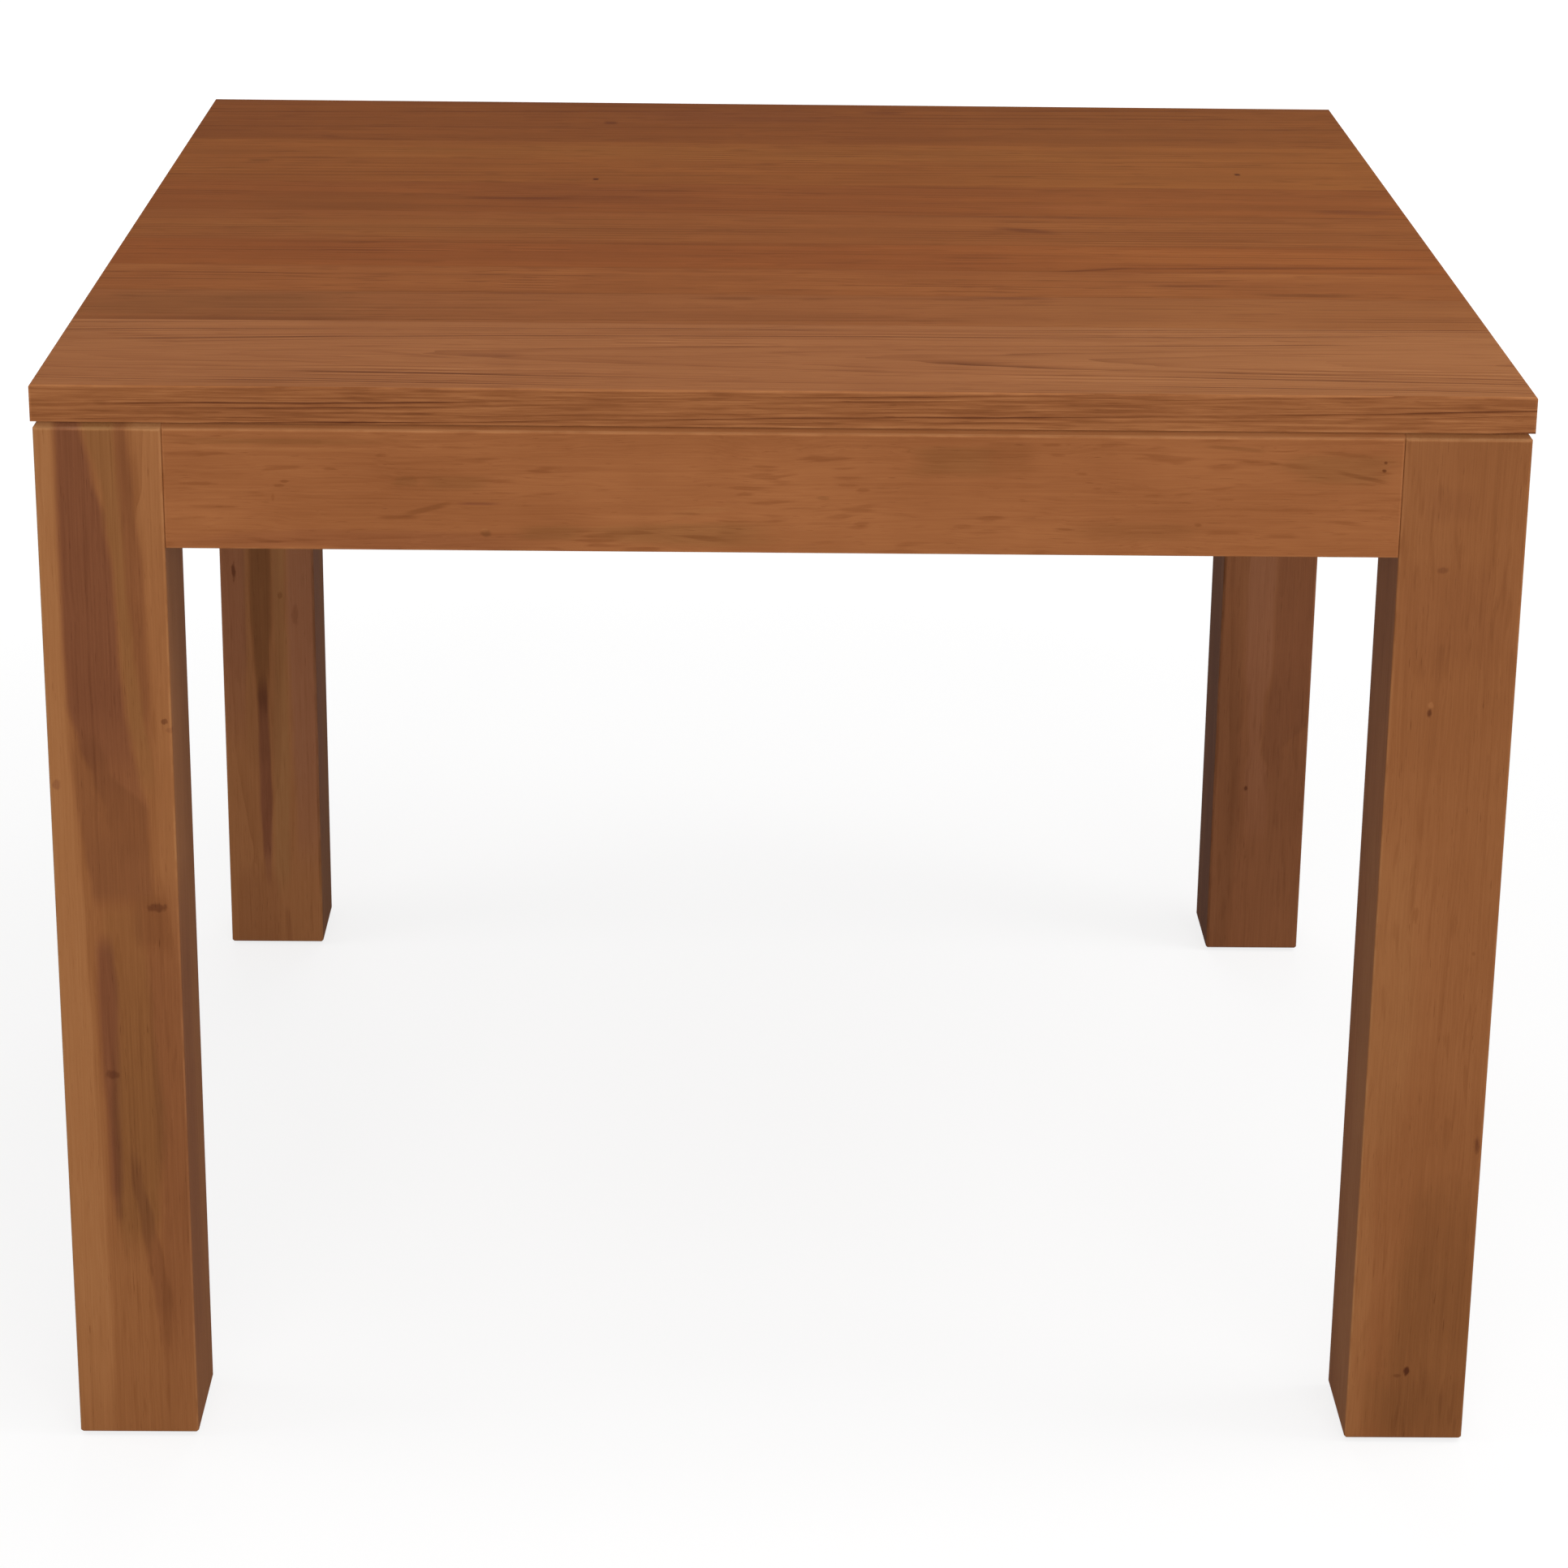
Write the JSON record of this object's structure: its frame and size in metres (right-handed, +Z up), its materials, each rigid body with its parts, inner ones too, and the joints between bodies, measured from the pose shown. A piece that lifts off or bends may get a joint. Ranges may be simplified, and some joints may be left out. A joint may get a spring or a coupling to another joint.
{
  "type": "dining table",
  "caption": "Square four-legged dining table with an edge-glued solid wood top, bevelled flush aprons and bolted square legs.",
  "frame": {"origin": "on the floor, under the middle of the top", "axes": "+X to the right along the grain of the top, +Y to the rear, +Z up"},
  "size_m": [1, 1, 0.783],
  "materials": {
    "top_wood": "reddish-brown hardwood, clear satin lacquer, grain left to right",
    "apron_wood": "reddish-brown hardwood, clear satin lacquer, grain along the apron",
    "leg_wood": "reddish-brown hardwood with paler sapwood streaks, clear satin lacquer",
    "inner_wood": "planed hardwood, unfinished",
    "zinc_steel": "bright zinc plate",
    "glide_nylon": "moulded dark brown nylon"
  },
  "bodies": {
    "root": {"top_board_1": "top_wood", "top_board_2": "top_wood", "top_board_3": "top_wood", "top_board_4": "top_wood", "top_board_5": "top_wood", "top_board_6": "top_wood", "top_board_7": "top_wood", "top_board_8": "top_wood", "front_apron": "apron_wood", "right_apron": "apron_wood", "rear_apron": "apron_wood", "left_apron": "apron_wood", "leg_front_left": "leg_wood", "corner_block_front_left": "inner_wood", "leg_front_right": "leg_wood", "corner_block_front_right": "inner_wood", "leg_rear_right": "leg_wood", "corner_block_rear_right": "inner_wood", "leg_rear_left": "leg_wood", "corner_block_rear_left": "inner_wood", "hanger_bolts": "zinc_steel", "hanger_bolt_washers": "zinc_steel", "hanger_bolt_nuts": "zinc_steel", "top_button_screws": "zinc_steel", "centre_rail": "inner_wood", "top_buttons": "inner_wood", "foot_glides": "glide_nylon"}
  },
  "joints": []
}
